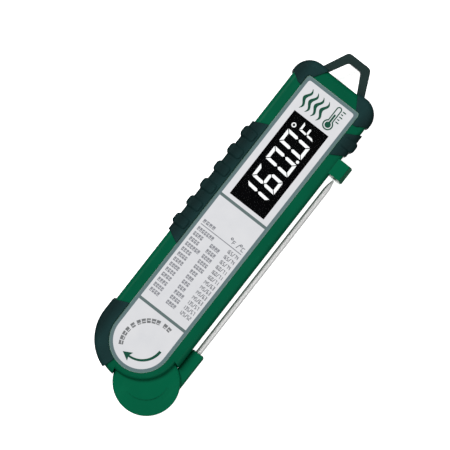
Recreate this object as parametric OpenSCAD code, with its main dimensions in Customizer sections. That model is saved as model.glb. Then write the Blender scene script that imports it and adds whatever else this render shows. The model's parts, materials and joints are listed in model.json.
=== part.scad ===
// Folding digital probe thermometer.
// The case lies on its flat back. +Z points out of the display face, +Y runs along the case
// towards the hanging loop, and +X points to the side where the folded probe is parked.
// The origin is on the flat back, at the middle of the case's length and width.

/* [Case] */
// Width of the hard case
body_w = 47.6; // [47.2:0.1:48.4]
// Length of the hard case
body_l = 192.4; // [191:0.2:194]
// Thickness of the case, from the flat back to the display face
body_t = 21; // [21:0.1:22]
// Wall thickness of both shells
wall = 2.2; // [2:0.1:2.4]
// Radius of the case's two top corners, seen from the front
corner_r = 9; // [8:0.5:10]
// Rounding of the front edge
front_edge_r = 2.8; // [2:0.1:3]
// Rounding of the back edge
back_edge_r = 2; // [1.5:0.1:2.4]
// Rounding of the two shells' edges where they meet
part_edge_r = 0.3; // [0.2:0.05:0.5]

/* [Face] */
// Width of the printed face label
label_w = 33.4; // [33:0.1:33.8]
// Width of the display window
window_w = 22.3; // [21:0.1:23]
// Length of the display window
window_l = 54.6; // [52:0.1:56]

/* [Probe] */
// Length of the bare probe, from the arm to the tip
probe_l = 114.1; // [100:0.1:114.3]
// Diameter of the probe
probe_d = 3.2; // [3:0.1:3.4]
// Radius of the round hub that the probe turns on
hub_r = 17.7; // [17:0.1:17.8]

/* [Rubber] */
// How far the rubber stands out from the case's sides
rubber_side = 1.1; // [0.9:0.1:1.3]
// How far the rubber stands above the display face
rubber_face = 0.7; // [0.5:0.1:0.9]
// Number of finger ribs on the long grip
grip_ribs = 6; // [4:1:6]

/* [Loop] */
// How far the hanging loop reaches past the case
loop_reach = 15.2; // [13:0.1:16]
// Thickness of the loop, front to back
loop_t = 5; // [4:0.1:6]

/* [Hidden] */

$fn = 96;
eps = 0.01;      // overrun that keeps cuts from ending on a face
big = 200;       // longer than anything that it cuts

// Case outline
half_w = body_w / 2;
top_y = body_l / 2;
end_y = -body_l / 2 + half_w;    // centre of the case's round lower end
split_z = body_t / 2;            // where the two shells meet
face_t = 2.5;                    // thickness of the front shell's face
face_in_z = body_t - face_t;     // inner side of that face
seal_w = 0.6;                    // width of the seal between the shells

// Face label
label_end_y = end_y - 0.8;       // centre of the label's round lower end
label_top_y = top_y - 7.4;
label_corner_r = 1.6;
label_t = 0.45;
label_recess = 0.6;
label_gap = 0.1;
window_y = 42.5;                 // middle of the display window
window_rebate = 2;               // how far the clear window reaches under the label
window_t = 1.3;

// Hub and pivot
hub_x = half_w - 8.5;
hub_y = -body_l / 2 + 7.5;
hub_dir = [-0.68, 0.733];        // from the hub towards the middle of the case's round end
pocket_r = hub_r + 0.5;
pocket_wall = 1.8;
ear_r = hub_r - 0.4;
ear_top_z = 7.6;
arm_z = 8;                       // underside of the arm, clear of the ear
arm_top_z = body_t - 5.1;
cap_top_z = body_t - 2.6;
roof_z = body_t - 2.1;           // underside of the case's lip over the hub
roof_r = half_w - 2.8;           // the lip's edge, about the case's round end
roof_edge_r = 1.7;               // rounding of the lip's edge
stem_r = 5;
stem_end_z = 2;
running_gap = 0.04;
ear_bore_z = 3.4;                // the bore starts here, above the counterbore
counterbore_r = 8.4;
ring_z = 2.4;                    // the retaining ring, in its groove round the stem
ring_t = 0.6;
ring_groove_r = stem_r - 0.8;
hub_seal_r = 6.9;                // middle of the seal ring round the pivot
hub_seal_half = 0.8;             // half the width of its groove
duct_r = 2.4;                    // the wire's way down the middle of the stem
duct_top_z = 13.4;

// Probe arm
arm_in_x = half_w + 0.06;        // the side of the arm that faces the case
arm_out_x = half_w + 7.6;
arm_end_y = hub_y + 28.2;
probe_x = hub_x + 12.1;
probe_z = 12.25;
probe_r = probe_d / 2;
tip_y = arm_end_y + probe_l;
tip_taper_l = 6;
socket_l = 14;                   // how deep the probe sits in the arm
shank_r = probe_r - 0.3;         // the probe's stepped-down end, in the arm
wire_bend = [probe_x, arm_end_y - socket_l - 1, probe_z];
magnet_at = [hub_x + 11.5 * hub_dir[0], hub_y + 11.5 * hub_dir[1]];
magnet_r = 2.48;
magnet_l = 2.6;

// Screws
case_screw_x = half_w - 5.4;
case_screw_ys = [84, 5, -54];
end_screw_at = [-13, end_y - 11.6];
case_screw_r = 1.1;
case_head_r = 2.2;
board_screw_x = 12.8;
board_screw_ys = [7.6, 77.6];
board_screw_r = 0.8;
board_head_r = 1.6;
thread_gap = 0.02;               // what is left free round a screw's thread

// Circuit board
board_z = 11.6;
board_t = 1.6;
board_top_z = board_z + board_t;
board_w = 30;
board_low_y = -62;
board_high_y = 82;
tongue_x = -13;                  // the board's narrow end, beside the hub's pocket
tongue_w = 19;
tongue_l = 7;
reed_y = board_low_y - 4.5;

// Display
lcd_z = 16.3;                    // underside of the rear glass
lcd_size = [28, 60];             // width and length of the rear glass
lcd_front_w = 24.6;              // the front glass is narrower
rear_glass_t = 1.1;
front_glass_t = 1;

// Battery compartment
door_y = -24;
door_w = 28;
door_l = 65;
door_t = 1.6;
door_gap = 0.2;
door_corner_r = 3;
door_screw_pitch = 58.8;
door_screw_r = 1;
door_head_r = 2.1;
insert_r = 1.9;                  // threaded inserts that the door's screws go into
insert_top_z = 7;
well_w = 22.4;
well_l = 49;
well_wall = 1.5;
well_roof_z = 6.8;
roof_t = 1.4;
ledge_z = 1.7;
cell_r = 10;
cell_t = 3.2;
cell_z = 2.4;
cell_pitch = 21.2;
pin_xs = [-5.5, 9];              // the contacts' pins, through the roof to the board
pin_r = 0.6;

// Degrees switch, beside the cells
switch_y = door_y + well_l / 2 - 1.9;
switch_travel = 2;

// Rubber pads
label_clear = 0.25;
pad_x = label_w / 2 + label_clear;
rib_pitch = 11.45;
rib_w = 6.4;
rib_proud = 1.45;                // how far a rib stands out from its pad, sideways
rib_rise = 0.7;                  // and above it
rib_first_y = 45.6;
rib_low_z = 2.2;
rib_top_z = body_t + rubber_face + rib_rise;

GREEN = [0.0, 0.38, 0.25];
DARK_RUBBER = [0.11, 0.2, 0.2];
STEEL = [0.75, 0.75, 0.76];

// ---------- shared shapes ----------

// The case's outline seen from the front, grown by g (or shrunk, if g is negative).
module case_plan(g = 0) {
    translate([0, end_y]) circle(r = half_w + g);
    translate([-half_w - g, end_y]) square([2 * (half_w + g), top_y - corner_r - end_y]);
    for (side = [-1, 1])
        translate([side * (half_w - corner_r), top_y - corner_r]) circle(r = corner_r + g);
    translate([corner_r - half_w, end_y])
        square([2 * (half_w - corner_r), top_y + g - end_y]);
}

// One half of the case's cross-section, w wide, with its two outer edges rounded.
module edge_profile(w, z0, z1, r0, r1) {
    difference() {
        translate([0, z0]) square([w, z1 - z0]);
        if (r0 > 0)
            translate([w - r0, z0 + r0]) difference() {
                translate([0, -r0 - 1]) square([r0 + 1, r0 + 1]);
                circle(r = r0);
            }
        if (r1 > 0)
            translate([w - r1, z1 - r1]) difference() {
                square([r1 + 1, r1 + 1]);
                circle(r = r1);
            }
    }
}

// A slab with the case's outline, grown by g, from z0 to z1, with rounded edges.
module case_slab(g, z0, z1, r0, r1) {
    straight = top_y - corner_r - end_y;
    translate([0, end_y, 0]) rotate([0, 0, 180]) rotate_extrude(angle = 180)
        edge_profile(half_w + g, z0, z1, r0, r1);
    translate([0, top_y - corner_r, 0]) rotate([90, 0, 0]) linear_extrude(straight)
        union() {
            edge_profile(half_w + g, z0, z1, r0, r1);
            mirror([1, 0]) edge_profile(half_w + g, z0, z1, r0, r1);
        }
    for (side = [-1, 1])
        translate([side * (half_w - corner_r), top_y - corner_r, 0])
            rotate([0, 0, side > 0 ? 0 : 90]) rotate_extrude(angle = 90)
                edge_profile(corner_r + g, z0, z1, r0, r1);
    translate([corner_r - half_w, top_y - corner_r, 0]) rotate([90, 0, 90])
        linear_extrude(2 * (half_w - corner_r)) edge_profile(corner_r + g, z0, z1, r0, r1);
}

// The inside of the case, less the hub's pocket, shrunk by inset.
module cavity_plan(inset) {
    difference() {
        case_plan(-inset);
        translate([hub_x, hub_y]) circle(r = pocket_r + pocket_wall - wall + inset);
    }
}

// The face label's outline, grown by g.
module label_plan(g = 0) {
    w = label_w / 2 + g;
    r = label_corner_r + g;
    translate([0, label_end_y]) circle(r = w);
    translate([-w, label_end_y]) square([2 * w, label_top_y + g - r - label_end_y]);
    for (side = [-1, 1]) translate([side * (w - r), label_top_y + g - r]) circle(r = r);
    translate([r - w, label_end_y]) square([2 * (w - r), label_top_y + g - label_end_y]);
}

// A rectangle with round corners, centred.
module round_rect(w, l, r) {
    square([w - 2 * r, l], center = true);
    square([w, l - 2 * r], center = true);
    for (x = [-1, 1], y = [-1, 1]) translate([x * (w / 2 - r), y * (l / 2 - r)]) circle(r = r);
}

// A solid of the 2D children between two heights.
module layer(z0, z1) {
    translate([0, 0, z0]) linear_extrude(z1 - z0) children();
}

// An upright cylinder between two heights.
module post(r, z0, z1) {
    translate([0, 0, z0]) cylinder(r = r, h = z1 - z0);
}

// A round rod from point p to point q.
module rod(p, q, r) {
    d = q - p;
    length = norm(d);
    translate(p) rotate([0, acos(d[2] / length), atan2(d[1], d[0])]) cylinder(r = r, h = length);
}

// A round wire through a list of points, slightly swollen at each bend.
module wire(points, r) {
    $fn = 20;
    for (i = [0 : len(points) - 2]) rod(points[i], points[i + 1], r);
    for (i = [1 : len(points) - 2]) translate(points[i]) sphere(r = r * 1.12);
}

// Places children at the seven case screws.
module at_case_screws() {
    for (x = [-1, 1], y = case_screw_ys) translate([x * case_screw_x, y, 0]) children();
    translate(end_screw_at) children();
}

// Places children at the four board screws.
module at_board_screws() {
    for (x = [-1, 1], y = board_screw_ys) translate([x * board_screw_x, y, 0]) children();
}

// Places children at the two door screws.
module at_door_screws() {
    for (s = [-1, 1]) translate([0, door_y + s * door_screw_pitch / 2, 0]) children();
}

// Places children at the two coin cells.
module at_cells() {
    for (s = [-1, 1]) translate([0, door_y + s * cell_pitch / 2, 0]) children();
}

// A pan-head screw pointing up from z0, with a cross recess in its head.
module pan_screw(z0, head_r, head_t, shank_r, shank_l) {
    difference() {
        union() {
            post(head_r, z0, z0 + head_t);
            post(shank_r, z0 + head_t - eps, z0 + head_t + shank_l);
        }
        for (a = [0, 90]) rotate([0, 0, a])
            translate([-head_r * 0.62, -head_r * 0.14, z0 - eps])
                cube([head_r * 1.24, head_r * 0.28, head_t * 0.6]);
    }
}

// Corners of pts rounded to radius r, as arcs of n steps.
function unit(v) = v / norm(v);
function arc_at(a, b, c, r, n) =
    let (u = unit(a - b), v = unit(c - b), half = acos(u * v) / 2,
         centre = b + unit(u + v) * r / sin(half),
         t0 = b + u * r / tan(half) - centre, t1 = b + v * r / tan(half) - centre,
         a0 = atan2(t0[1], t0[0]), turn = atan2(t1[1], t1[0]) - a0,
         sweep = turn > 180 ? turn - 360 : turn < -180 ? turn + 360 : turn)
    [for (i = [0 : n]) centre + r * [cos(a0 + sweep * i / n), sin(a0 + sweep * i / n)]];
function rounded(pts, radii, n = 6) = [
    for (i = [0 : len(pts) - 1])
        each radii[i] > 0
            ? arc_at(pts[(i + len(pts) - 1) % len(pts)], pts[i], pts[(i + 1) % len(pts)], radii[i], n)
            : [pts[i]]
];

// ---------- case ----------

module front_shell() {
    color(GREEN) difference() {
        union() {
            difference() {
                case_slab(0, split_z, body_t, part_edge_r, front_edge_r);
                layer(split_z - 1, face_in_z) cavity_plan(wall);
            }
            at_case_screws() post(case_screw_r + 1.5, split_z, face_in_z + eps);
            at_board_screws() post(board_screw_r + 1.2, board_top_z, face_in_z + eps);
        }
        // label recess, then the rebate and opening for the display window
        layer(body_t - label_recess, body_t + 1) label_plan(label_gap);
        translate([0, window_y, 0]) {
            layer(body_t - label_recess - window_t, body_t)
                square([window_w + 2 * window_rebate, window_l + 2 * window_rebate], center = true);
            layer(split_z, body_t) square([window_w + 1, window_l + 1], center = true);
        }
        // pocket for the hub, and the lip that covers part of it
        translate([hub_x, hub_y, 0]) post(pocket_r, split_z - 1, roof_z);
        difference() {
            translate([hub_x, hub_y, 0]) post(pocket_r, roof_z - eps, body_t + 1);
            translate([0, end_y, 0]) rotate_extrude()
                edge_profile(roof_r, roof_z - 1, body_t, 0, roof_edge_r);
        }
        at_case_screws() post(case_screw_r + thread_gap, split_z - 1, face_in_z - 1);
        at_board_screws() post(board_screw_r + thread_gap, board_top_z - 1, face_in_z - 1);
        tip_guard_tenon(0.1);
        loop_solid(0.05);
    }
}

module rear_shell() {
    color(GREEN) difference() {
        union() {
            difference() {
                case_slab(0, 0, split_z, back_edge_r, part_edge_r);
                layer(wall, split_z + 1) cavity_plan(wall);
            }
            // ear that carries the pivot
            translate([hub_x, hub_y, 0]) rotate_extrude()
                edge_profile(ear_r, 0, ear_top_z, back_edge_r, part_edge_r);
            at_case_screws() post(case_head_r + 0.7, wall - eps, split_z);
            // battery compartment
            translate([0, door_y, 0]) {
                layer(wall - eps, ledge_z + 2) square([door_w + 2.6, door_l + 3], center = true);
                layer(wall, well_roof_z + roof_t)
                    square([well_w + 2 * well_wall, well_l + 2 * well_wall], center = true);
            }
            at_door_screws() post(insert_r + 1.3, wall - eps, insert_top_z + 0.6);
        }
        // pocket and pivot bore
        translate([hub_x, hub_y, 0]) {
            post(pocket_r, ear_top_z, split_z + 1);
            post(stem_r + running_gap, 0, ear_top_z + 1);
            post(counterbore_r, -1, ear_bore_z);
            difference() {
                post(hub_seal_r + hub_seal_half, ear_top_z - 1, ear_top_z + 1);
                post(hub_seal_r - hub_seal_half, ear_top_z - 2, ear_top_z + 2);
            }
        }
        lead_channel();
        at_case_screws() {
            post(case_head_r + 0.3, -1, 3);
            post(case_screw_r + 0.2, 0, split_z + 1);
        }
        translate([0, door_y, 0]) {
            layer(-1, ledge_z) round_rect(door_w + 2 * door_gap, door_l + 2 * door_gap, door_corner_r);
            layer(0, well_roof_z) square([well_w, well_l], center = true);
        }
        at_door_screws() post(insert_r, 0, insert_top_z);
        // contact pins and the degrees switch pass through the compartment's roof
        at_cells() for (x = pin_xs) translate([x, 0, 0]) post(pin_r, well_roof_z - 1, 9);
        translate([0, switch_y, 0])
            layer(well_roof_z - 1, 9) square([switch_travel + 3, 2.1], center = true);
        // groove for the case seal
        layer(split_z - seal_w - 0.3, split_z + 1) difference() {
            cavity_plan(wall - seal_w);
            cavity_plan(wall);
        }
        tip_guard_tenon(0.1);
        loop_solid(0.05);
    }
}

// The duct that takes the sensor lead from the pivot into the case.
module lead_channel() {
    translate([hub_x, hub_y, 0]) rotate([0, 0, atan2(hub_dir[1], hub_dir[0])])
        translate([4, -1.5, 1.05]) cube([18, 3, 3.3]);
}

module case_seal() {
    color([0.1, 0.1, 0.1]) difference() {
        layer(split_z - seal_w - 0.28, split_z) difference() {
            cavity_plan(wall - seal_w + 0.02);
            cavity_plan(wall - 0.02);
        }
        tip_guard_tenon(0.1);
        loop_solid(0.05);
    }
}

module label_overlay() {
    color([0.85, 0.86, 0.88])
        layer(body_t - label_recess, body_t - label_recess + label_t) difference() {
            label_plan();
            translate([0, window_y]) square([window_w, window_l], center = true);
        }
}

module display_window() {
    color([0.6, 0.65, 0.7, 0.4]) translate([0, window_y, 0])
        layer(body_t - label_recess - window_t, body_t - label_recess)
            square([window_w + 2 * window_rebate - 0.2, window_l + 2 * window_rebate - 0.2], center = true);
}

// ---------- display and electronics ----------

module lcd_glass() {
    split = lcd_z + rear_glass_t;
    color([0.05, 0.05, 0.06]) translate([0, window_y, 0]) {
        layer(lcd_z, split) square(lcd_size, center = true);
        layer(split, split + front_glass_t) square([lcd_front_w, lcd_size[1]], center = true);
    }
}

// Frame that stands on the board and holds the display's edges.
module lcd_holder() {
    rim = [3, 4];
    clear = [0.2, 0.2];
    color([0.2, 0.2, 0.2]) translate([0, window_y, 0]) difference() {
        layer(board_top_z, face_in_z - 0.05) square(lcd_size + rim, center = true);
        layer(board_top_z - 1, face_in_z + 1) square(lcd_size + clear, center = true);
    }
}

module backlight_panel() {
    panel = [22.6, 58];
    color("white") translate([0, window_y, 0])
        layer(board_top_z + 0.2, lcd_z - 0.05) square(panel, center = true);
}

// Conductive rubber strips between the board and the display's two long edges.
module zebra_strips() {
    strip = [1.8, 54];
    strip_x = 12.75;
    color([0.7, 0.3, 0.4]) for (side = [-1, 1])
        translate([side * strip_x, window_y, 0]) layer(board_top_z, lcd_z) square(strip, center = true);
}

module circuit_board() {
    color([0.05, 0.3, 0.12]) difference() {
        layer(board_z, board_top_z) {
            translate([-board_w / 2, board_low_y]) square([board_w, board_high_y - board_low_y]);
            translate([tongue_x, board_low_y - tongue_l]) square([tongue_w, tongue_l + 1]);
        }
        at_board_screws() post(board_screw_r + 0.15, board_z - 1, board_top_z + 1);
    }
}

// Epoxy cap over the processor die, on the back of the board.
module processor_cover() {
    dome_r = 9.2;
    dome_h = 2.2;        // how far it stands out from the board
    processor_y = 48;
    color([0.05, 0.05, 0.05]) translate([0, processor_y, board_z]) difference() {
        translate([0, 0, dome_r - dome_h]) sphere(r = dome_r);
        post(dome_r + 1, 0, 2 * dome_r);
    }
}

module board_components() {
    // [x, y, width, length, height] of each part on the board's underside
    parts = [[-8, 24, 5, 6.2, 1.5], [7, 22, 9, 4, 2.6], [9, 66, 3.2, 5, 1.2],
             [-9, 64, 3, 3, 1], [-4, 18, 2, 1.2, 0.8], [0, 18, 2, 1.2, 0.8], [-9, -58, 4, 4, 1.2]];
    color([0.12, 0.12, 0.13]) for (p = parts)
        translate([p[0], p[1], 0]) layer(board_z - p[4], board_z) square([p[2], p[3]], center = true);
}

// Glass tube on the board's end, that the magnet in the arm holds closed.
module reed_switch() {
    tube_r = 1;
    tube_z = board_top_z + tube_r + 0.05;
    ends_x = [-9, 1];
    pin_w = 0.5;
    color([0.6, 0.7, 0.65]) {
        rod([ends_x[0], reed_y, tube_z], [ends_x[1], reed_y, tube_z], tube_r);
        for (x = ends_x) translate([x - pin_w / 2, reed_y - pin_w / 2, board_top_z])
            cube([pin_w, pin_w, 1.2]);
    }
}

module board_screws() {
    color(STEEL) at_board_screws() pan_screw(board_z - 1, board_head_r, 1, board_screw_r, 5.2);
}

module case_screws() {
    color(STEEL) at_case_screws() pan_screw(1.4, case_head_r, 1.6, case_screw_r, 12);
}

module sensor_lead() {
    out = [hub_dir[0], hub_dir[1], 0];
    pivot = [hub_x, hub_y, 0];
    board_end = [-2, board_low_y - 4, board_z - 0.3];
    color([0.8, 0.7, 0.2]) wire([
        pivot + [0, 0, 4], pivot + [0, 0, 1.5], pivot + 12 * out + [0, 0, 1.6],
        pivot + 16 * out + [0, 0, 3], pivot + 23.5 * out + [0, 0, 3.2], board_end
    ], 0.45);
}

// ---------- battery compartment ----------

module coin_cell(i) {
    color(STEEL) translate([0, door_y + i * cell_pitch / 2, 0]) {
        post(cell_r, cell_z, cell_z + cell_t - 0.3);
        post(cell_r - 1.3, cell_z + cell_t - 0.3, cell_z + cell_t);
    }
}

// Arched leaf springs on the compartment's roof, each with a pin to the board.
module negative_contacts() {
    leaf_t = 0.25;
    roof = well_roof_z;
    cell_top_z = cell_z + cell_t;
    color([0.8, 0.75, 0.55]) at_cells() {
        rotate([90, 0, 0]) translate([0, 0, -2]) linear_extrude(4) polygon([
            [-7, roof], [-7, roof - leaf_t], [-4, roof - leaf_t], [-1.5, cell_top_z],
            [1.5, cell_top_z], [4, roof - leaf_t], [4.4, roof - leaf_t], [4, roof],
            [1.4, cell_top_z + leaf_t], [-1.4, cell_top_z + leaf_t], [-4, roof]
        ]);
        translate([pin_xs[0], 0, 0]) post(pin_r, roof - eps, board_z);
    }
}

// Upright tabs that press on the side of each cell's can, each with a pin to the board.
module positive_contacts() {
    tab_t = 0.3;
    tab_w = 4;
    tab_z = cell_z + 0.2;
    color([0.8, 0.75, 0.55]) at_cells() {
        translate([cell_r + 0.02, -tab_w / 2, tab_z]) cube([tab_t, tab_w, well_roof_z - tab_z]);
        translate([cell_r - 1.9, -tab_w / 2, well_roof_z - tab_t]) cube([2, tab_w, tab_t]);
        translate([pin_xs[1], 0, 0]) post(pin_r, well_roof_z - eps, board_z);
    }
}

module door_inserts() {
    color([0.75, 0.6, 0.25]) at_door_screws() difference() {
        post(insert_r, ledge_z, insert_top_z);
        post(door_screw_r + 0.05, 0, insert_top_z + 1);
    }
}

module battery_door() {
    groove_l = 14;
    groove_pitch = 2.4;
    groove_r = 0.45;
    color(GREEN) difference() {
        union() {
            translate([0, door_y, 0]) layer(0, door_t) round_rect(door_w, door_l, door_corner_r - door_gap);
            at_cells() for (x = [-6, 6]) translate([x, 0, 0])
                layer(door_t - eps, cell_z - 0.05) square([1.2, 14], center = true);
        }
        translate([0, door_y, 0]) {
            layer(door_t - 0.7, door_t + 1) door_seal_plan(0.02);
            // grip grooves across the door's outer face
            for (i = [-3 : 3]) rod([-groove_l / 2, i * groove_pitch, 0], [groove_l / 2, i * groove_pitch, 0],
                                   groove_r);
        }
        at_door_screws() {
            post(door_head_r + 0.05, -1, 0.95);
            post(door_screw_r + 0.05, 0, door_t + 1);
        }
    }
}

module door_seal_plan(g = 0) {
    difference() {
        round_rect(well_w + 3.6 + 2 * g, well_l + 3.6 + 2 * g, 2 + g);
        round_rect(well_w + 1.6 - 2 * g, well_l + 1.6 - 2 * g, 1 - g);
    }
}

module door_seal() {
    color([0.1, 0.1, 0.1]) translate([0, door_y, 0]) layer(door_t - 0.7, ledge_z - 0.02) door_seal_plan();
}

module door_screws() {
    color(STEEL) at_door_screws() pan_screw(0.15, door_head_r, 0.8, door_screw_r, 4.9);
}

module unit_switch_housing() {
    color([0.15, 0.15, 0.15]) translate([0, switch_y, 0]) difference() {
        layer(well_roof_z + roof_t + 0.2, board_z) square([9, 4], center = true);
        layer(well_roof_z + roof_t + 1, board_z - 0.6) square([6.4, 2.8], center = true);
        layer(well_roof_z, board_z - 1) square([switch_travel + 2.4, 1.9], center = true);
    }
}

module unit_switch_knob() {
    color([0.9, 0.9, 0.85]) translate([-switch_travel / 2, switch_y, 0]) {
        layer(4.4, 9.6) square([1.8, 1.6], center = true);
        layer(9.5, 10.6) square([2.6, 2.4], center = true);
    }
}

// ---------- rubber and side pieces ----------

// A finger rib on the +X side at y = 0. It stands up the pad's side and runs on over its front.
module rib() {
    out_x = half_w + rubber_side + rib_proud;
    in_x = pad_x + 1.4;
    side = rounded([[in_x - 4, rib_low_z], [out_x, rib_low_z], [out_x, rib_top_z], [in_x, rib_top_z],
                    [in_x - 4, rib_top_z - 1.6]], [0, 2, 2.6, 3, 0]);
    intersection() {
        layer(0, body_t + 3) translate([(in_x + out_x) / 2, 0])
            round_rect(out_x - in_x, rib_w, 2.1);
        translate([0, rib_w, 0]) rotate([90, 0, 0]) linear_extrude(2 * rib_w) polygon(side);
        translate([in_x - 4, 0, 0]) rotate([90, 0, 90]) linear_extrude(20)
            union() {
                edge_profile(rib_w / 2, 0, rib_top_z, 0, 1.3);
                mirror([1, 0]) edge_profile(rib_w / 2, 0, rib_top_z, 0, 1.3);
            }
    }
}

// A skin of rubber over the case. Child 0 is its plan outline and child 1 its ribs.
module rubber_pad(g = rubber_side) {
    difference() {
        intersection() {
            union() {
                case_slab(g, 0, body_t + rubber_face, back_edge_r, front_edge_r);
                children(1);
            }
            layer(0, body_t + 2) children(0);
        }
        layer(-1, body_t + 2) label_plan(label_clear);
        case_slab(0, -1, body_t, 0, front_edge_r);
        difference() {
            layer(-1, back_edge_r) case_plan(1 + rubber_side);
            case_slab(g, 0, body_t, back_edge_r, 0);
        }
    }
}

module corner_guard(side) {
    color(DARK_RUBBER) difference() {
        rubber_pad() {
            scale([side, 1]) polygon([
                [30, 85.7], [half_w, 85.2], [21.8, 84.2], [19, 82.4], [14, 81.8], [14, 88.8],
                [13.9, 89.2], [9.9, 95.8], [9.9, 99], [30, 99]
            ]);
            union() {}
        }
        loop_solid(0.02);
    }
}

module top_left_guard() {
    corner_guard(-1);
}

module top_right_guard() {
    corner_guard(1);
}

module bottom_guard() {
    reach = 60;
    start_a = 165;   // the guard's upper end and its lower end, as angles about the case's round end
    end_a = 252.5;
    color(DARK_RUBBER) rubber_pad(rubber_side + 0.2) {
        union() {
            translate([0, end_y]) polygon([
                [0, 0], [-pad_x, 10.9], [-half_w - 3, 6.4], reach * [-1, -0.2], reach * [-1, -1],
                reach * [cos(end_a), sin(end_a)]
            ]);
        }
        union() {}
    }
}

module left_grip() {
    slope = 3.8;
    high_y = 56.1;
    low_y = -22.8;
    color(DARK_RUBBER) rubber_pad() {
        polygon([
            [1 - pad_x, high_y], [-half_w, high_y - slope], [-30, high_y - slope - 0.6],
            [-30, low_y + slope + 0.6], [-half_w, low_y + slope], [1 - pad_x, low_y]
        ]);
        for (i = [0 : grip_ribs - 1])
            translate([0, rib_first_y - i * rib_pitch, 0]) mirror([1, 0, 0]) rib();
    }
}

module right_grip() {
    color(DARK_RUBBER) rubber_pad() {
        polygon([
            [pad_x - 1, 75.8], [half_w + 1, 80.8], [30, 81.2], [30, 67.9],
            [half_w, 66.8], [20.6, 64.8], [pad_x - 1, 62.2]
        ]);
        translate([0, 72.8, 0]) rib();
    }
}

// The hanging loop: a strap bent round a trapezium, grown all round by g.
module loop_solid(g = 0) {
    strap = 4.5;         // width of the strap across the loop's end
    foot_x = 11.8;
    foot_half_t = 1.5;
    foot_half_w = 1.4;
    toe_half_w = 2.4;
    toe_l = 1.5;
    out_y = top_y + loop_reach + g;
    in_y = out_y - strap - 2 * g;
    low_y = top_y - wall - toe_l - 0.1 - g;
    outer_x = [14.3 + g, 7.1 + g];    // half widths at the case and at the loop's end
    inner_x = [9.6 - g, 3.9 - g];
    outer = [[-outer_x[0], top_y], [-outer_x[1], out_y], [outer_x[1], out_y], [outer_x[0], top_y]];
    inner = [[-inner_x[0], top_y], [-inner_x[1], in_y], [inner_x[1], in_y], [inner_x[0], top_y]];
    inner_low = [[inner_x[0], top_y - 1], [-inner_x[0], top_y - 1]];
    difference() {
        layer(split_z - loop_t / 2 - g, split_z + loop_t / 2 + g)
            polygon(rounded(outer, [0, 2.6, 2.6, 0]));
        layer(0, body_t) polygon(concat(rounded(inner, [0, 1.6, 1.6, 0]), inner_low));
    }
    // feet that pass through the case's end wall, with a toe inside it
    for (side = [-1, 1]) translate([side * foot_x, 0, split_z])
        layer(-foot_half_t - g, foot_half_t + g) {
            translate([-foot_half_w - g, low_y]) square([2 * (foot_half_w + g), top_y + 0.1 - low_y]);
            translate([-toe_half_w - g, low_y]) square([2 * (toe_half_w + g), toe_l + g]);
        }
}

module hanging_loop() {
    color(DARK_RUBBER) loop_solid();
}

// The tenon that locks the tip guard into the case's side wall.
module tip_guard_tenon(g = 0) {
    translate([half_w - wall - 1 - g, 56.5 - g, 8 - g]) cube([wall + 2 + g, 5.2 + 2 * g, 5 + 2 * g]);
}

// A block on the case's shoulder. Its outer side and its low end slope away from its flat top.
module tip_guard() {
    root_x = half_w - 5;             // inside the case, which is cut away
    out_x = arm_out_x + 0.3;
    low_y = tip_y + 0.5;
    guard_l = 10.1;
    low_z = 4.7;
    top_z = body_t - 0.5;
    side_slope = 2.1;                // how far the outer side leans in
    end_slope = 0.8;
    section = [
        [root_x, low_z], [out_x, low_z], [out_x, top_z - 5], [out_x - side_slope, top_z],
        [root_x, top_z]
    ];
    lengthways = [
        [low_y, 0], [low_y, top_z - 4], [low_y + end_slope, body_t],
        [low_y + guard_l, body_t], [low_y + guard_l, 0]
    ];
    color(GREEN) {
        difference() {
            intersection() {
                translate([0, low_y + guard_l, 0]) rotate([90, 0, 0]) linear_extrude(guard_l)
                    polygon(rounded(section, [0, 2, 1.6, 0.5, 0]));
                layer(0, body_t) translate([(root_x + out_x) / 2, low_y + guard_l / 2])
                    round_rect(out_x - root_x, guard_l, 1);
                translate([root_x, 0, 0]) rotate([90, 0, 90])
                    linear_extrude(out_x - root_x) polygon(lengthways);
            }
            case_slab(0, -1, body_t, 0, front_edge_r);
        }
        tip_guard_tenon();
    }
}

// ---------- pivot and probe arm ----------

module hub_seal() {
    color([0.1, 0.1, 0.1]) translate([hub_x, hub_y, ear_top_z - 0.32]) rotate_extrude()
        translate([hub_seal_r, 0]) circle(r = 0.67, $fn = 32);
}

module friction_washer() {
    color(STEEL) translate([hub_x, hub_y, 0]) difference() {
        post(7.6, ring_z + ring_t + 0.03, ear_bore_z);
        post(stem_r + 0.15, 0, 5);
    }
}

module pivot_cap() {
    color(GREEN) translate([hub_x, hub_y, 0]) difference() {
        post(counterbore_r - 0.02, 0, 1);
        // shallow slot for a coin or a screwdriver
        translate([-5, -0.8, -1]) cube([10, 1.6, 1.5]);
    }
}

module retaining_ring() {
    color(STEEL) translate([hub_x, hub_y, 0]) difference() {
        post(ring_groove_r + 2.8, ring_z, ring_z + ring_t);
        post(ring_groove_r, 0, 5);
        translate([-9, -1.6, 0]) cube([9, 3.2, 5]);
    }
}

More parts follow.
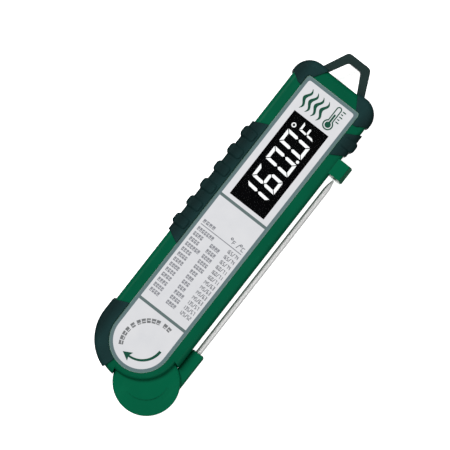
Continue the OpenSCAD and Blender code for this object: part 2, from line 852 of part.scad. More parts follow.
module probe_arm() {
    block_w = arm_out_x - arm_in_x;
    block_l = 24;
    block_z = 8.6;
    block_x = (arm_in_x + arm_out_x) / 2;
    block_r = 1.6;
    color(GREEN) difference() {
        union() {
            translate([hub_x, hub_y, 0]) {
                rotate_extrude() edge_profile(hub_r - 0.3, arm_z, arm_top_z, 0.4, 0);
                post(stem_r, stem_end_z, arm_z + 1);
            }
            intersection() {
                translate([block_x, arm_end_y, (block_z + arm_top_z) / 2]) rotate([90, 0, 0])
                    linear_extrude(block_l) round_rect(block_w, arm_top_z - block_z, block_r);
                layer(0, body_t) translate([block_x, arm_end_y - block_l / 2])
                    round_rect(block_w, block_l, 1.2);
            }
        }
        // groove for the retaining ring
        translate([hub_x, hub_y, 0]) {
            difference() {
                post(stem_r + 1, ring_z, ring_z + ring_t);
                post(ring_groove_r, 0, 5);
            }
            post(duct_r, 0, duct_top_z);
        }
        // socket for the probe, the wire's way to the pivot, and the magnet's pocket
        rod([probe_x, arm_end_y + 1, probe_z], [probe_x, arm_end_y - socket_l, probe_z], shank_r + 0.02);
        wire([wire_bend + [0, 2, 0], wire_bend, [hub_x, hub_y, probe_z]], 1);
        translate([magnet_at[0], magnet_at[1], 0])
            post(magnet_r + 0.02, arm_top_z - magnet_l, arm_top_z + 1);
    }
}

// Round cover on the hub. Its outer side slopes down to a thumb rest, and a round boss with
// sloping sides stands at full height in the middle of the slope.
module hub_cap() {
    rest_from = 3.4;     // where the slope starts, from the hub's centre
    rest_drop = 1.2;     // and how far down it has come at the cover's edge
    boss_back = 3.75;    // the boss's centre, behind the hub's
    boss_r = 12.8;
    slope_l = hub_r - rest_from;
    color(GREEN) difference() {
        translate([hub_x, hub_y, 0]) rotate_extrude()
            edge_profile(hub_r, arm_top_z, cap_top_z, 0.3, 1.2);
        translate([hub_x, hub_y, cap_top_z]) rotate([0, 0, atan2(-hub_dir[1], -hub_dir[0])]) difference() {
            rotate([90, 0, 0]) translate([0, 0, -hub_r - 1]) linear_extrude(2 * hub_r + 2) polygon([
                [rest_from, 0], [rest_from + slope_l, -rest_drop], [rest_from + slope_l + 1, -rest_drop],
                [rest_from + slope_l + 1, 1], [rest_from, 1]
            ]);
            translate([-boss_back, 0, -rest_drop - 1])
                cylinder(r1 = boss_r + 0.8, r2 = boss_r - 0.5, h = rest_drop + 3);
        }
    }
}

// Stainless tube with a closed, pointed tip.
module probe_tube() {
    bore_r = 0.8;
    end_r = 0.45;
    bulge = 0.55;    // how far the taper's sides curve outward
    steps = 5;
    base = -socket_l;
    shoulder = probe_l - tip_taper_l;
    side = [[bore_r, base], [shank_r, base], [shank_r, 0], [probe_r, 0], [probe_r, shoulder]];
    taper = [for (i = [1 : steps]) let (t = i / steps)
        [probe_r + (end_r - probe_r) * t + bulge * t * (1 - t), shoulder + tip_taper_l * t]];
    inside = [[0, probe_l], [0, shoulder], [bore_r, shoulder - 1]];
    color(STEEL) translate([probe_x, arm_end_y, probe_z]) rotate([-90, 0, 0]) rotate_extrude()
        polygon(concat(side, taper, inside));
}

module thermocouple_wires() {
    color([0.85, 0.75, 0.3]) wire([
        [probe_x, tip_y - tip_taper_l - 2, probe_z], wire_bend, [hub_x, hub_y, probe_z],
        [hub_x, hub_y, 4.4]
    ], 0.6);
}

module arm_magnet() {
    color(STEEL) translate([magnet_at[0], magnet_at[1], 0])
        post(magnet_r, arm_top_z - magnet_l, arm_top_z - 0.02);
}

// ---------- nodes ----------

front_shell();
rear_shell();
case_seal();
label_overlay();
display_window();
lcd_glass();
lcd_holder();
backlight_panel();
zebra_strips();
circuit_board();
processor_cover();
board_components();
reed_switch();
board_screws();
case_screws();
tip_guard();
top_left_guard();
top_right_guard();
bottom_guard();
left_grip();
right_grip();
hanging_loop();
coin_cell(1);  // coin_cell_upper
coin_cell(-1);  // coin_cell_lower
negative_contacts();
positive_contacts();
unit_switch_housing();
sensor_lead();
hub_seal();
friction_washer();
pivot_cap();
door_inserts();
probe_arm();
hub_cap();
probe_tube();
thermocouple_wires();
arm_magnet();
retaining_ring();
battery_door();
door_seal();
door_screws();
unit_switch_knob();
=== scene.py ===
import json
import math
import random

import bmesh
import bpy
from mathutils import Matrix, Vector

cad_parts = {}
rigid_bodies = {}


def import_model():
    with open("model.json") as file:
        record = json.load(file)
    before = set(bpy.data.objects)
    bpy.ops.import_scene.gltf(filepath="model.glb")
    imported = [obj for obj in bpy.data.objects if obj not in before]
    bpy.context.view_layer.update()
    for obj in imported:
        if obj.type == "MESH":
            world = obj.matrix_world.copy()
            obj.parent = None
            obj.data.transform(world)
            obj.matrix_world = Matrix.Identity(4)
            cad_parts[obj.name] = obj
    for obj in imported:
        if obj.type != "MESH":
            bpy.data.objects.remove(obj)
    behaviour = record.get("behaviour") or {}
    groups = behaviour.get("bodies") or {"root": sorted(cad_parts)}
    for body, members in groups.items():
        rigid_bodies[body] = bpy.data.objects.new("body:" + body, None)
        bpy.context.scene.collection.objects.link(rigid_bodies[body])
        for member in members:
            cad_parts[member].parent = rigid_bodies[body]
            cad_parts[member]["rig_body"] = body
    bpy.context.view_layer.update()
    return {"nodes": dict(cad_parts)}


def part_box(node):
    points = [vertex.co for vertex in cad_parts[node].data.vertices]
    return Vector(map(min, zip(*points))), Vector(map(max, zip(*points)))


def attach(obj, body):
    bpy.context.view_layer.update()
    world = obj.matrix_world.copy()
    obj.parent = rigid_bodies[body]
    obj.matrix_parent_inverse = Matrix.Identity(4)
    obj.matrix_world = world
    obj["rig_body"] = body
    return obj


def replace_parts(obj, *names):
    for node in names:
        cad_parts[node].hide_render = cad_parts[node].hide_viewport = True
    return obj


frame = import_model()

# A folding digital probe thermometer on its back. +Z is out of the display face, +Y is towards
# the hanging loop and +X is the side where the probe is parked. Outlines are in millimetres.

MM = 0.001


def limits(node):
    """(lowest corner, highest corner) of a CAD node, in millimetres."""
    low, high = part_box(node)
    return low / MM, high / MM


# ---------- materials ----------

class Shader:
    """A material's node tree, with short calls that add nodes and link them."""

    def __init__(self, name):
        self.material = bpy.data.materials.new(name)
        self.material.use_nodes = True
        self.tree = self.material.node_tree
        self.surface = self.tree.nodes["Principled BSDF"]
        self.place = self.add("TexCoord").outputs["Object"]

    def add(self, kind, **settings):
        node = self.tree.nodes.new("ShaderNode" + kind)
        for name, value in settings.items():
            setattr(node, name, value)
        return node

    def link(self, source, target):
        self.tree.links.new(source, target)

    def set(self, **values):
        """Sets constant values on the surface's own sockets: Specular_IOR_Level=0.4 and so on."""
        for name, value in values.items():
            self.surface.inputs[name.replace("_", " ")].default_value = value

    def stretched(self, stretch):
        mapping = self.add("Mapping")
        mapping.inputs["Scale"].default_value = stretch
        self.link(self.place, mapping.inputs["Vector"])
        return mapping.outputs["Vector"]

    def noise(self, scale, detail=2.0, stretch=(1, 1, 1), distortion=0.0):
        node = self.add("TexNoise")
        node.inputs["Scale"].default_value = scale
        node.inputs["Detail"].default_value = detail
        node.inputs["Distortion"].default_value = distortion
        self.link(self.stretched(stretch), node.inputs["Vector"])
        return node.outputs["Fac"]

    def cells(self, scale, feature="F1"):
        node = self.add("TexVoronoi", feature=feature)
        node.inputs["Scale"].default_value = scale
        self.link(self.place, node.inputs["Vector"])
        return node.outputs["Distance"]

    def from_middle(self):
        """Distance from the case's middle plane."""
        apart = self.add("SeparateXYZ")
        self.link(self.place, apart.inputs["Vector"])
        size = self.add("Math", operation="ABSOLUTE")
        self.link(apart.outputs["X"], size.inputs[0])
        return size.outputs["Value"]

    def remap(self, value, low, high, start=0.3, end=0.7):
        node = self.add("MapRange")
        self.link(value, node.inputs["Value"])
        for name, number in (("From Min", start), ("From Max", end), ("To Min", low), ("To Max", high)):
            node.inputs[name].default_value = number
        return node.outputs["Result"]

    def ramp(self, value, *stops):
        """A colour that runs through stops, each (position, (r, g, b))."""
        node = self.add("ValToRGB")
        elements = node.color_ramp.elements
        while len(elements) < len(stops):
            elements.new(0.5)
        for element, (position, colour) in zip(elements, stops):
            element.position = position
            element.color = (*colour, 1)
        self.link(value, node.inputs["Fac"])
        return node.outputs["Color"]

    def mix(self, factor, a, b):
        node = self.add("Mix", data_type="RGBA")
        self.link(factor, node.inputs["Factor"])
        self.link(a, node.inputs["A"])
        self.link(b, node.inputs["B"])
        return node.outputs["Result"]

    def drift(self, colour, amount, scale=45.0):
        """The colour, drifting slowly a little lighter and darker over the piece."""
        light = [c * (1 + amount) for c in colour]
        dark = [c * (1 - amount) for c in colour]
        return self.ramp(self.noise(scale, 4.0), (0.3, dark), (0.7, light))

    def edges(self, radius):
        """A normal that rounds the piece's sharp edges."""
        node = self.add("Bevel", samples=6)
        node.inputs["Radius"].default_value = radius * MM
        return node.outputs["Normal"]

    def bump(self, height, depth, normal=None):
        """A bump of this depth in millimetres, over an earlier normal."""
        node = self.add("Bump")
        node.inputs["Strength"].default_value = 1.0
        node.inputs["Distance"].default_value = depth * MM
        self.link(height, node.inputs["Height"])
        if normal:
            self.link(normal, node.inputs["Normal"])
        return node.outputs["Normal"]

    def finish(self, colour, roughness, normal):
        self.link(colour, self.surface.inputs["Base Color"])
        self.link(roughness, self.surface.inputs["Roughness"])
        if normal:
            self.link(normal, self.surface.inputs["Normal"])
        return self.material


def moulded_plastic(name, colour, gloss=0.4, grain=0.006, edge=0.22):
    """Injection-moulded plastic: fine eroded grain, faint flow marks and handling scuffs."""
    s = Shader(name)
    s.set(Specular_IOR_Level=0.035)
    scuffs = s.noise(260, 5.0, stretch=(1, 0.25, 1), distortion=0.4)
    body = s.drift(colour, 0.07)
    worn = s.drift([c * 1.18 + 0.001 for c in colour], 0.05, scale=300)
    tone = s.mix(s.remap(scuffs, 0.0, 0.55, 0.62, 0.82), body, worn)
    rough = s.remap(scuffs, gloss - 0.05, gloss + 0.09)
    normal = s.bump(s.noise(2600, 3.0), grain, s.edges(edge))
    normal = s.bump(s.noise(28, 2.0), 0.02, normal)
    return s.finish(tone, rough, normal)


PAINTED_LIGHT_X = (17.5 * MM, 22.5 * MM)   # from the case's middle: where the painted light on the pads is full, and where it has faded out


def soft_rubber(name, colour, rough=0.62, edge=0.3, painted_light=1.0):
    """Matt elastomer: a fine pebbled skin with a little pale dust in its low spots.

    Towards the face the pads are painted lighter by a given factor: painted light for their flat tops,
    and darker further out where they curve away.
    """
    s = Shader(name)
    s.set(Specular_IOR_Level=0.07)
    dust = s.noise(900, 6.0)
    body = s.drift(colour, 0.14, scale=70)
    # Painted light: a lighter copy of the rubber's colour, laid on the pads near the face where their
    # tops catch the light.
    painted_light_tone = s.drift([c * painted_light for c in colour], 0.14, scale=70)
    pale = s.drift([c * 1.7 + 0.004 for c in colour], 0.1, scale=400)
    body = s.mix(s.remap(s.from_middle(), 1.0, 0.0, *PAINTED_LIGHT_X), body, painted_light_tone)
    tone = s.mix(s.remap(dust, 0.0, 0.7, 0.6, 0.75), body, pale)
    pebbles = s.remap(s.cells(2400), 0.0, 1.0, 0.0, 0.6)
    normal = s.bump(pebbles, 0.012, s.edges(edge))
    normal = s.bump(s.noise(160, 3.0), 0.03, normal)
    return s.finish(tone, s.remap(dust, rough - 0.06, rough + 0.14), normal)


def printed_film(name):
    """The face label's pale film, satin, with the print's very faint mottle."""
    s = Shader(name)
    s.set(Specular_IOR_Level=0.3)
    dark = (0.572, 0.578, 0.598)
    light = (0.604, 0.606, 0.622)
    tone = s.ramp(s.noise(120, 5.0), (0.3, dark), (0.7, light))
    normal = s.bump(s.noise(3800, 2.0), 0.002, s.edges(0.08))
    return s.finish(tone, s.remap(s.noise(700, 3.0), 0.42, 0.56), normal)


def ink(name, colour, spread=0.08):
    """Screen-printed ink with an uneven, slightly speckled lay."""
    s = Shader(name)
    s.set(Specular_IOR_Level=0.15)
    light = [c * (1 + spread) + 0.002 for c in colour]
    dark = [c * (1 - spread) for c in colour]
    tone = s.ramp(s.noise(2200, 4.0), (0.35, dark), (0.65, light))
    return s.finish(tone, s.remap(s.noise(900, 2.0), 0.4, 0.55), s.bump(s.noise(5200, 2.0), 0.001))


def clear_window(name):
    """Clear moulded plastic with a hard anti-glare coat."""
    s = Shader(name)
    s.set(Alpha=0.04, Specular_IOR_Level=0.3)
    tone = s.drift((0.006, 0.007, 0.008), 0.1, scale=90)
    normal = s.bump(s.noise(35, 1.0), 0.004, s.edges(0.1))
    return s.finish(tone, s.remap(s.noise(500, 3.0), 0.07, 0.12), normal)


def display_black(name):
    """The display's black polariser, very slightly mottled."""
    s = Shader(name)
    s.set(Specular_IOR_Level=0.03)
    dark = (0.0006, 0.0006, 0.0008)
    light = (0.0012, 0.0012, 0.0016)
    tone = s.ramp(s.noise(140, 4.0), (0.3, dark), (0.7, light))
    return s.finish(tone, s.remap(s.noise(600, 2.0), 0.25, 0.32), s.edges(0.05))


def lit_segment(name):
    """A display segment with the backlight behind it, a touch uneven."""
    s = Shader(name)
    s.set(Specular_IOR_Level=0.1)
    glow = s.ramp(s.noise(260, 3.0), (0.3, (0.74, 0.76, 0.76)), (0.7, (0.80, 0.81, 0.81)))
    s.link(glow, s.surface.inputs["Emission Color"])
    s.set(Emission_Strength=0.3)
    return s.finish(glow, s.remap(s.noise(700, 2.0), 0.4, 0.5), s.bump(s.noise(3000, 1.0), 0.001))


def metal(name, colour, rough, stretch, marks=900.0, edge=0.06, metallic=1.0):
    """Bright metal with fine marks drawn out one way by stretch."""
    s = Shader(name)
    s.set(Metallic=metallic)
    lines = s.noise(marks, 4.0, stretch=stretch)
    smears = s.noise(55, 4.0)
    dark = [c * 0.94 for c in colour]
    light = [c * 1.04 for c in colour]
    tone = s.ramp(smears, (0.3, dark), (0.7, light))
    normal = s.bump(lines, 0.0016, s.edges(edge))
    return s.finish(tone, s.remap(lines, rough - 0.05, rough + 0.1), normal)


def layered_strip(name):
    """Elastomer strip: thin black conducting layers between pink ones."""
    black = (0.02, 0.015, 0.018)
    pink = (0.36, 0.1, 0.14)
    s = Shader(name)
    wave = s.add("TexWave", wave_type="BANDS", bands_direction="Y")
    wave.inputs["Scale"].default_value = 900
    s.link(s.place, wave.inputs["Vector"])
    tone = s.ramp(wave.outputs["Fac"], (0.35, black), (0.6, pink))
    return s.finish(tone, s.remap(s.noise(900, 3.0), 0.5, 0.7), s.bump(s.noise(1500, 2.0), 0.01))


def circuit_mask(name):
    """Green solder mask over copper tracks."""
    s = Shader(name)
    tracks = s.remap(s.cells(420, "DISTANCE_TO_EDGE"), 0.0, 1.0, 0.03, 0.08)
    mask = s.drift((0.006, 0.085, 0.022), 0.12, scale=200)
    copper = s.drift((0.02, 0.17, 0.045), 0.1, scale=300)
    tone = s.mix(tracks, copper, mask)
    normal = s.bump(tracks, -0.02, s.edges(0.05))
    return s.finish(tone, s.remap(s.noise(800, 3.0), 0.25, 0.4), normal)


def wire_jacket(name):
    """Two twisted strands under a thin yellow jacket."""
    valley = (0.42, 0.27, 0.03)
    crest = (0.62, 0.43, 0.07)
    s = Shader(name)
    twist = s.add("TexWave", wave_type="BANDS", bands_direction="DIAGONAL")
    twist.inputs["Scale"].default_value = 260
    s.link(s.place, twist.inputs["Vector"])
    tone = s.ramp(twist.outputs["Fac"], (0.3, valley), (0.7, crest))
    return s.finish(tone, s.remap(s.noise(900, 2.0), 0.4, 0.55), s.bump(twist.outputs["Fac"], 0.05))


def tube_glass(name):
    """The reed switch's thin green-tinted glass."""
    s = Shader(name)
    s.set(Alpha=0.5, IOR=1.5)
    tone = s.drift((0.4, 0.6, 0.5), 0.05, scale=300)
    return s.finish(tone, s.remap(s.noise(900, 2.0), 0.04, 0.1), s.bump(s.noise(300, 2.0), 0.01))


green = moulded_plastic("green_plastic", (0.0002, 0.076, 0.0355))
green_arm = moulded_plastic("green_arm_plastic", (0.0003, 0.094, 0.0425), gloss=0.36)
black = moulded_plastic("black_plastic", (0.013, 0.013, 0.014), gloss=0.45)
white = moulded_plastic("white_plastic", (0.7, 0.7, 0.66))
# The grip pads are painted twice as light near the face: painted light on their tops.
grip_rubber = soft_rubber("grip_rubber", (0.0032, 0.0140, 0.0140), painted_light=2.0)
loop_rubber = soft_rubber("loop_rubber", (0.013, 0.028, 0.026), rough=0.56)
seal_rubber = soft_rubber("seal_rubber", (0.012, 0.012, 0.013), rough=0.5)
steel = metal("turned_steel", (0.62, 0.62, 0.63), 0.3, (1, 1, 9))
probe_steel = metal("probe_steel", (0.76, 0.76, 0.75), 0.48, (0.5, 6, 0.5), metallic=0.35)
brass = metal("plated_brass", (0.72, 0.52, 0.22), 0.28, (1, 1, 5))
MATERIALS = {
    green: ["front_shell", "rear_shell", "battery_door", "pivot_cap"],
    green_arm: ["probe_arm", "hub_cap", "tip_guard"],
    seal_rubber: ["case_seal", "hub_seal", "door_seal"],
    printed_film("label_film"): ["label_overlay"],
    clear_window("window_plastic"): ["display_window"],
    display_black("display_polariser"): ["lcd_glass"],
    black: ["lcd_holder", "board_components", "processor_cover", "unit_switch_housing"],
    white: ["backlight_panel", "unit_switch_knob"],
    layered_strip("conductive_strip"): ["zebra_strips"],
    circuit_mask("solder_mask"): ["circuit_board"],
    steel: ["board_screws", "case_screws", "door_screws", "retaining_ring", "friction_washer",
            "coin_cell_upper", "coin_cell_lower", "arm_magnet"],
    probe_steel: ["probe_tube"],
    brass: ["negative_contacts", "positive_contacts", "door_inserts"],
    wire_jacket("wire_jacket"): ["thermocouple_wires", "sensor_lead"],
    tube_glass("reed_glass"): ["reed_switch"],
}
for material, nodes in MATERIALS.items():
    for node in nodes:
        for material_slot in frame["nodes"][node].material_slots:
            material_slot.material = material


# ---------- mesh tools ----------

WELD = 0.002      # points closer than this are one point
VOXEL = 0.24      # size of the rubber's remeshing


def own_mesh(source):
    """The mesh of an object as its modifiers leave it, free of the object."""
    graph = bpy.context.evaluated_depsgraph_get()
    return bpy.data.meshes.new_from_object(source.evaluated_get(graph), depsgraph=graph)


def place(name, mesh, material, body):
    """A piece that rides on a body and takes the finish it is given."""
    mesh.materials.clear()
    mesh.materials.append(material)
    piece = bpy.data.objects.new(name, mesh)
    bpy.context.scene.collection.objects.link(piece)
    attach(piece, body)
    return piece


def plate(name, outlines, low, high, material):
    """A closed flat piece on the case, between two heights. An outline inside another is a hole."""
    curve = bpy.data.curves.new(name + "_outline", "CURVE")
    curve.dimensions = "2D"
    curve.fill_mode = "BOTH"
    curve.extrude = (high - low) / 2
    for outline in outlines:
        spline = curve.splines.new("POLY")
        spline.points.add(len(outline) - 1)
        for point, (x, y) in zip(spline.points, outline):
            point.co = (x, y, 0, 1)
        spline.use_cyclic_u = True
    holder = bpy.data.objects.new(name + "_outline", curve)
    bpy.context.scene.collection.objects.link(holder)
    mesh = own_mesh(holder)
    bpy.data.objects.remove(holder)
    shape = bmesh.new()
    shape.from_mesh(mesh)
    bmesh.ops.remove_doubles(shape, verts=shape.verts, dist=WELD)
    for vertex in shape.verts:
        vertex.co = Vector((vertex.co.x, vertex.co.y, vertex.co.z + (low + high) / 2)) * MM
    bmesh.ops.recalc_face_normals(shape, faces=shape.faces)
    shape.to_mesh(mesh)
    shape.free()
    return place(name, mesh, material, "case")


def softened(node, name, material, passes):
    """A CAD solid of rubber with every edge worn round, which stands for that solid."""
    source = frame["nodes"][node]
    soft = bpy.data.objects.new(name + "_source", source.data.copy())
    bpy.context.scene.collection.objects.link(soft)
    remesh = soft.modifiers.new("voxels", "REMESH")
    remesh.mode = "VOXEL"
    remesh.voxel_size = VOXEL * MM
    smooth = soft.modifiers.new("rounding", "SMOOTH")
    smooth.factor = 0.5
    smooth.iterations = passes
    mesh = own_mesh(soft)
    bpy.data.objects.remove(soft)
    mesh.shade_smooth()
    piece = place(name, mesh, material, source["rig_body"])
    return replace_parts(piece, node)


# ---------- outlines ----------

def arc(centre, radius, start, end, steps):
    """Points along an arc, angles in degrees."""
    turns = [math.radians(start + (end - start) * i / steps) for i in range(steps + 1)]
    return [(centre[0] + radius * math.cos(t), centre[1] + radius * math.sin(t)) for t in turns]


def circle(centre, radius, steps=32):
    return arc(centre, radius, 0, 360, steps)[:-1]


def rounded_box(x0, y0, x1, y1, r, steps=4):
    centres = [(x1 - r, y1 - r), (x0 + r, y1 - r), (x0 + r, y0 + r), (x1 - r, y0 + r)]
    return [p for i, centre in enumerate(centres) for p in arc(centre, r, 90 * i, 90 * i + 90, steps)]


def inset(outline, gap):
    """A convex outline, counter-clockwise, moved in by gap on every side."""
    lines = []
    for (ax, ay), (bx, by) in zip(outline, outline[1:] + outline[:1]):
        along = Vector((bx - ax, by - ay)).normalized()
        inward = Vector((-along.y, along.x))
        lines.append((Vector((ax, ay)) + inward * gap, along))
    points = []
    for (p, u), (q, v) in zip(lines[-1:] + lines[:-1], lines):
        t = (q - p).cross(v) / u.cross(v)
        points.append(tuple(p + u * t))
    return points


SEGMENTS = {"0": "abcdef", "1": "bc", "2": "abdeg", "3": "abcdg", "4": "bcfg", "5": "acdfg",
            "6": "acdefg", "7": "abc", "8": "abcdefg", "9": "abcdfg", "F": "aefg", "C": "adef"}


def seven_segments(sign, w, h, t, gap, cut):
    """The bars of a seven-segment sign, w wide and h high.

    The bars are t thick with a gap between them, and the sign's corners are cut off.
    """
    m = h / 2
    k = t / 2
    c = cut / 2
    bars = {
        "a": [(c, h - c), (t, h - t), (w - t, h - t), (w - c, h - c), (w - cut, h), (cut, h)],
        "d": [(c, c), (cut, 0), (w - cut, 0), (w - c, c), (w - t, t), (t, t)],
        "g": [(k, m), (t, m - k), (w - t, m - k), (w - k, m), (w - t, m + k), (t, m + k)],
        "f": [(c, h - c), (0, h - cut), (0, m + k), (k, m), (t, m + k), (t, h - t)],
        "e": [(c, c), (t, t), (t, m - k), (k, m), (0, m - k), (0, cut)],
        "b": [(w - c, h - c), (w - t, h - t), (w - t, m + k), (w - k, m), (w, m + k), (w, h - cut)],
        "c": [(w - c, c), (w, cut), (w, m - k), (w - k, m), (w - t, m - k), (w - t, t)],
    }
    return [inset(bars[bar], gap / 2) for bar in SEGMENTS[sign]]


# ---------- rubber ----------

for node in ("top_left_guard", "top_right_guard", "bottom_guard", "left_grip", "right_grip"):
    softened(node, node + "_rubber", grip_rubber, passes=4)
softened("hanging_loop", "hanging_loop_strap", loop_rubber, passes=14)


# ---------- face print ----------

INK_T = 0.02
EDGE_W = 0.55                    # width of the thin line round the label's edge
BORDER_W = 1.95                  # how far in the border reaches
DIVIDER_W = 1.6
DIVIDERS_Y = {"upper": 12.3, "lower": -55.7}
label_low, label_high = limits("label_overlay")
label_r = (label_high.x - label_low.x) / 2
label_end_y = label_low.y + label_r
field_x = label_r - BORDER_W


def face_print(name, outlines, material):
    """A printed layer on the face label."""
    plate(name, outlines, label_high.z, label_high.z + INK_T, material)


def label_outline(back, corner):
    """The label's outline, set back from its edge, with round upper corners."""
    r = label_r - back
    top = label_high.y - back
    upper = [p for side, start in ((1, 0), (-1, 90))
             for p in arc((side * (r - corner), top - corner), corner, start, start + 90, 6)]
    return arc((0, label_end_y), r, 180, 360, 64) + upper


rim = label_outline(0.05, 1.55)
edge = label_outline(EDGE_W, 1.5)
field = label_outline(BORDER_W, 1.3)
face_print("label_edge_line", [rim, edge], ink("edge_ink", (0.100, 0.185, 0.165)))
face_print("label_border", [edge, field], ink("border_ink", (0.100, 0.150, 0.158)))
divider_ink = ink("divider_ink", (0.100, 0.140, 0.139))
for which, y in DIVIDERS_Y.items():
    low = y - DIVIDER_W / 2
    high = y + DIVIDER_W / 2
    bar = [(-field_x, low), (field_x, low), (field_x, high), (-field_x, high)]
    face_print("label_divider_" + which, [bar], divider_ink)

# The table: a grey block for each letter of a word, and plain figures for the temperatures.
FIRST_ROW_Y = -10.1
ROW_PITCH = 3.325
CAP_H = 2.2
LETTER_PITCH = 1.5
FIGURE_PITCH = 1.22
COLUMNS_X = (-13.2, -2.4, 6.1)   # first words, second words, temperatures
TEMPERATURES_F = (165, 165, 165, 160, 160, 160, 145, 145, 145, 145, 135, 135, 125)
FIRST_WORDS = (7, 4, 4, 6, 4, 4, 4, 4, 4, 4, 4, 4, 4)
SECOND_WORDS = (0, 4, 4, 4, 4, 4, 3, 3, 3, 3, 4, 4, 4)

# The table's head: one word, then the signs of the two degree scales with a stroke between them.
HEAD_Y = -5.2
HEAD_X = -13.1
HEAD_H = 2.0
HEAD_PITCH = 1.95
SCALE_SIGNS = ((4.6, "F"), (10.5, "C"))
SCALE_H = 2.4
SCALE_PITCH = 2.1
STROKE_X = 8.6
STROKE_PITCH = 1.5
RING_R = (0.75, 0.33)
RULE = (-13.2, -6.6, 13.2, -6.12)

# Parts of a letter block's pitch or height, and of a figure's.
LETTER_W = (0.76, 0.84)
BITES = (0.34, 0.5, 0.66)
BITE_H = 0.16
FIGURE_W = 0.84
FIGURE_T = 0.165


def word(letters, x, y, height, pitch, chance):
    """Blocks that stand for the letters of a word: each has a bite out of it, as letters have."""
    blocks = []
    for i in range(letters):
        x0 = x + i * pitch
        x1 = x0 + pitch * chance.uniform(*LETTER_W)
        bite = chance.choice(BITES) * height
        stroke = BITE_H * height
        blocks.append([(x0, y), (x1, y), (x1, y + bite - stroke), (x0 + stroke, y + bite - stroke),
                       (x0 + stroke, y + bite), (x1, y + bite), (x1, y + height), (x0, y + height)])
    return blocks


def figures(text, x, y, height, pitch):
    """Plain seven-segment figures and strokes."""
    shapes = []
    thick = height * FIGURE_T
    for i, sign in enumerate(text):
        at = x + i * pitch
        w = pitch * FIGURE_W
        if sign == "/":
            shapes.append([(at, y), (at + thick, y), (at + w, y + height), (at + w - thick, y + height)])
        else:
            bars = seven_segments(sign, w, height, thick, gap=0.02, cut=0.12)
            shapes += [[(at + u, y + v) for u, v in bar] for bar in bars]
    return shapes


chance = random.Random(7)
table = []
numbers = []
for i, degrees_f in enumerate(TEMPERATURES_F):
    y = FIRST_ROW_Y - i * ROW_PITCH
    degrees_c = round((degrees_f - 32) * 5 / 9)
    table += word(FIRST_WORDS[i], COLUMNS_X[0], y, CAP_H, LETTER_PITCH, chance)
    table += word(SECOND_WORDS[i], COLUMNS_X[1], y, CAP_H, LETTER_PITCH, chance)
    numbers += figures(f"{degrees_f}/{degrees_c}", COLUMNS_X[2], y, CAP_H, FIGURE_PITCH)
table += word(4, HEAD_X, HEAD_Y, HEAD_H, HEAD_PITCH, chance)
for x, sign in SCALE_SIGNS:
    numbers += [circle((x, HEAD_Y + 2.5), r, 16) for r in RING_R]
    numbers += figures(sign, x + 1.1, HEAD_Y, SCALE_H, SCALE_PITCH)
numbers += figures("/", STROKE_X, HEAD_Y, SCALE_H, STROKE_PITCH)
table.append(rounded_box(*RULE, 0.1))
face_print("table_print", table, ink("text_ink", (0.225, 0.23, 0.25), spread=0.2))
face_print("table_figures", numbers, ink("figure_ink", (0.12, 0.125, 0.14), spread=0.15))

# Blocks in an arc for the printed instruction, and the arrow that shows how the probe folds out.
ARC_CENTRE = (5.2, -74.2)
ARC_R = 14.4
ARC_GROUPS = ((209.3, 4), (165.2, 1), (151.3, 5), (94.0, 2))   # (angle of its start, blocks)
ARC_PITCH = 2.59
ARC_CAP_H = 2.4


def bent(outline, start):
    """An outline laid clockwise along the arc from an angle: x runs along it and y outwards."""
    points = []
    for x, y in outline:
        turn = math.radians(start) - x / ARC_R
        points.append((ARC_CENTRE[0] + (ARC_R + y) * math.cos(turn),
                       ARC_CENTRE[1] + (ARC_R + y) * math.sin(turn)))
    return points


strokes = []
for start, count in ARC_GROUPS:
    blocks = word(count, 0, -ARC_CAP_H / 2, ARC_CAP_H, ARC_PITCH, chance)
    strokes += [bent(block, start) for block in blocks]
face_print("arc_strokes", strokes, ink("arc_ink", (0.15, 0.155, 0.16), spread=0.25))

ARROW_CENTRE = (-0.6, -71.6)
ARROW_R = 11.8
ARROW_END = -88.5                # angle where the shaft meets the head
TAIL_HALF = 0.75                 # half the shaft's width at its two ends
HEAD_HALF = 0.55
ARROW_HEAD = [(0.5, -86.0), (-4.3, -83.4), (0.5, -80.7)]
ARROW_STEPS = 28


def arrow_side(sign):
    """One edge of the arrow's shaft, from its tail to its head, where it is thinner."""
    points = []
    for i in range(ARROW_STEPS + 1):
        part = i / ARROW_STEPS
        half = TAIL_HALF + (HEAD_HALF - TAIL_HALF) * part
        points += arc(ARROW_CENTRE, ARROW_R + sign * half, ARROW_END * part, 0, 1)[:1]
    return points


green_ink = ink("green_ink", (0.0004, 0.058, 0.032))
face_print("fold_arrow", [arrow_side(1) + ARROW_HEAD + arrow_side(-1)[::-1]], green_ink)

# A plain pictogram: a thermometer with its scale, beside four rising heat waves.
BULB = (7.0, 74.3)
# (bulb's radius, half of the tube's width, tube's end) of the outside, the inside and the fluid
TUBES = ((2.9, 1.55, 84.0), (2.2, 0.95, 84.0), (1.65, 0.5, 80.4))
TICKS = (2.0, 1.3, 2.0, 1.3, 2.0)
TICK_X = BULB[0] + 2.2
TICK_LOW_Y = 78.0
TICK_PITCH = 1.6
TICK_HALF = 0.3
WAVES = 4
WAVE_X = -10.2
WAVE_PITCH = 3.6
WAVE_LOW_Y = 72.2
WAVE_L = 12.0
WAVE_SWING = 0.85
WAVE_TURNS = 1.5
WAVE_END_HALF = 0.15             # half a wave's width at its ends, and what its middle adds
WAVE_BELLY = 0.8
WAVE_STEPS = 32


def thermometer_outline(bulb_r, half_w, top_y):
    """A round bulb with a round-topped tube above it."""
    neck = math.degrees(math.asin(half_w / bulb_r))
    return arc(BULB, bulb_r, 90 + neck, 450 - neck, 30) + arc((BULB[0], top_y), half_w, 0, 180, 12)


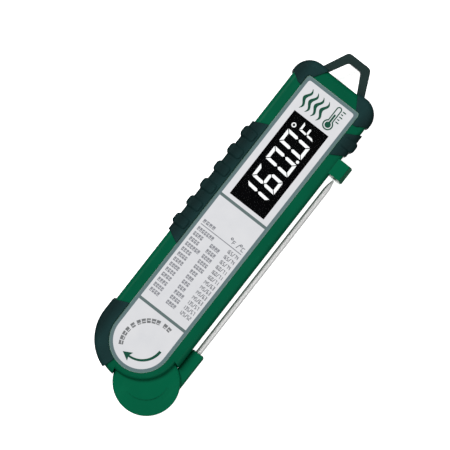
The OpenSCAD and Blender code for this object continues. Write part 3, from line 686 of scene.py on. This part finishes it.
def wave_outline(middle_x):
    """A wavy upright stroke, thin at its ends."""
    right = []
    left = []
    for i in range(WAVE_STEPS + 1):
        part = i / WAVE_STEPS
        x = middle_x + WAVE_SWING * math.sin(part * WAVE_TURNS * math.tau)
        half = WAVE_END_HALF + WAVE_BELLY * math.sin(math.pi * part)
        y = WAVE_LOW_Y + WAVE_L * part
        right.append((x + half, y))
        left.append((x - half, y))
    return right + left[::-1]


pictogram = [thermometer_outline(*tube) for tube in TUBES]
for i, length in enumerate(TICKS):
    y = TICK_LOW_Y + i * TICK_PITCH
    pictogram.append(rounded_box(TICK_X, y - TICK_HALF, TICK_X + length, y + TICK_HALF, 0.25))
pictogram += [wave_outline(WAVE_X + WAVE_PITCH * i) for i in range(WAVES)]
face_print("face_pictogram", pictogram, green_ink)


# ---------- display ----------

DIGITS = "1600"
DIGIT_BARS = {"w": 8.55, "h": 15.8, "t": 2.15, "gap": 0.44, "cut": 0.6}
DIGIT_U = 16.75                  # where the first digit starts
DIGIT_PITCH = 11.4
SCALE_BARS = {"w": 5.4, "h": 9.9, "t": 1.4, "gap": 0.3, "cut": 0.3}
SCALE_U = 62.2
SCALE_V = 1.0
SLANT = 0.08                     # how far a sign leans, for each unit of its height
BASE_X = 7.7                     # the digits' foot
POINT_AT = (6.7, 49.5)
POINT_R = 0.85
DEGREE_AT = (-6.7, 63.6)
DEGREE_R = (1.3, 0.72)
LIT_T = 0.04
lcd_top = limits("lcd_glass")[1].z


def on_display(u, v):
    """A point of the reading, u along it and v up it. It reads towards +Y with its top at -X."""
    return (BASE_X - v, u + SLANT * v)


lit = []
for i, sign in enumerate(DIGITS):
    start = DIGIT_U + i * DIGIT_PITCH
    for bar in seven_segments(sign, **DIGIT_BARS):
        lit.append([on_display(start + u, v) for u, v in bar])
lit.append(circle(POINT_AT, POINT_R))
lit += [circle(DEGREE_AT, r) for r in DEGREE_R]
for bar in seven_segments("F", **SCALE_BARS):
    lit.append([on_display(SCALE_U + u, SCALE_V + v) for u, v in bar])
plate("display_segments", lit, lcd_top, lcd_top + LIT_T, lit_segment("segment_light"))


# ---------- stage, light and camera ----------

def floor_material():
    """A plain pale floor. It can't be seen from below, so that the object's back can."""
    s = Shader("floor_paint")
    s.set(Specular_IOR_Level=0.1, Emission_Strength=0.9)
    tone = s.ramp(s.noise(3, 2.0), (0.3, (0.90, 0.90, 0.90)), (0.7, (0.93, 0.93, 0.93)))
    s.link(tone, s.surface.inputs["Emission Color"])
    s.finish(tone, s.remap(s.noise(9, 2.0), 0.75, 0.85), None)
    clear = s.add("BsdfTransparent")
    sides = s.add("MixShader")
    s.link(s.add("NewGeometry").outputs["Backfacing"], sides.inputs["Fac"])
    s.link(s.surface.outputs["BSDF"], sides.inputs[1])
    s.link(clear.outputs["BSDF"], sides.inputs[2])
    s.link(sides.outputs["Shader"], s.tree.nodes["Material Output"].inputs["Surface"])
    return s.material


FLOOR_HALF = 4.0
FLOOR_Z = -0.0001
SIDES = ((-1, -1), (1, -1), (1, 1), (-1, 1))
floor_mesh = bpy.data.meshes.new("floor")
floor_mesh.from_pydata([(x * FLOOR_HALF, y * FLOOR_HALF, FLOOR_Z) for x, y in SIDES], [], [(0, 1, 2, 3)])
floor_mesh.materials.append(floor_material())
floor = bpy.data.objects.new("floor", floor_mesh)
bpy.context.scene.collection.objects.link(floor)
floor.visible_diffuse = False    # it neither lights the object nor shows in its gloss
floor.visible_glossy = False
floor.visible_shadow = False

TURN = math.radians(38.05)       # how far the object leans clockwise in the view
VIEW_W = 0.233                   # width of the view at the case's front
AIM = Vector((-0.00285, 0.00065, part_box("front_shell")[1].z))
LENS = 200.0
SENSOR = 36.0


def softbox(name, at, size, power):
    """A round soft light, turned towards the object."""
    data = bpy.data.lights.new(name, "AREA")
    data.shape = "DISK"
    data.size = size
    data.energy = power
    light = bpy.data.objects.new(name, data)
    light.location = at
    light.rotation_euler = (-Vector(at)).to_track_quat("-Z", "Y").to_euler()
    bpy.context.scene.collection.objects.link(light)


softbox("key_softbox", (-0.9, 0.35, 1.25), 0.8, 23.2)
softbox("fill_softbox", (0.9, -0.3, 1.3), 1.1, 7.5)
softbox("under_softbox", (0.3, -0.3, -1.3), 1.1, 14)
world = bpy.data.worlds.new("studio")
world.use_nodes = True
sky = world.node_tree.nodes["Background"].inputs
sky["Color"].default_value = (1, 1, 1, 1)
sky["Strength"].default_value = 0.3
bpy.context.scene.world = world
bpy.context.scene.view_settings.view_transform = "Standard"

camera_data = bpy.data.cameras.new("camera")
camera_data.lens = LENS
camera_data.sensor_width = SENSOR
camera = bpy.data.objects.new("camera", camera_data)
camera.location = AIM + Vector((0, 0, VIEW_W * LENS / SENSOR))
camera.rotation_euler = (0, 0, TURN)
bpy.context.scene.collection.objects.link(camera)
bpy.context.scene.camera = camera
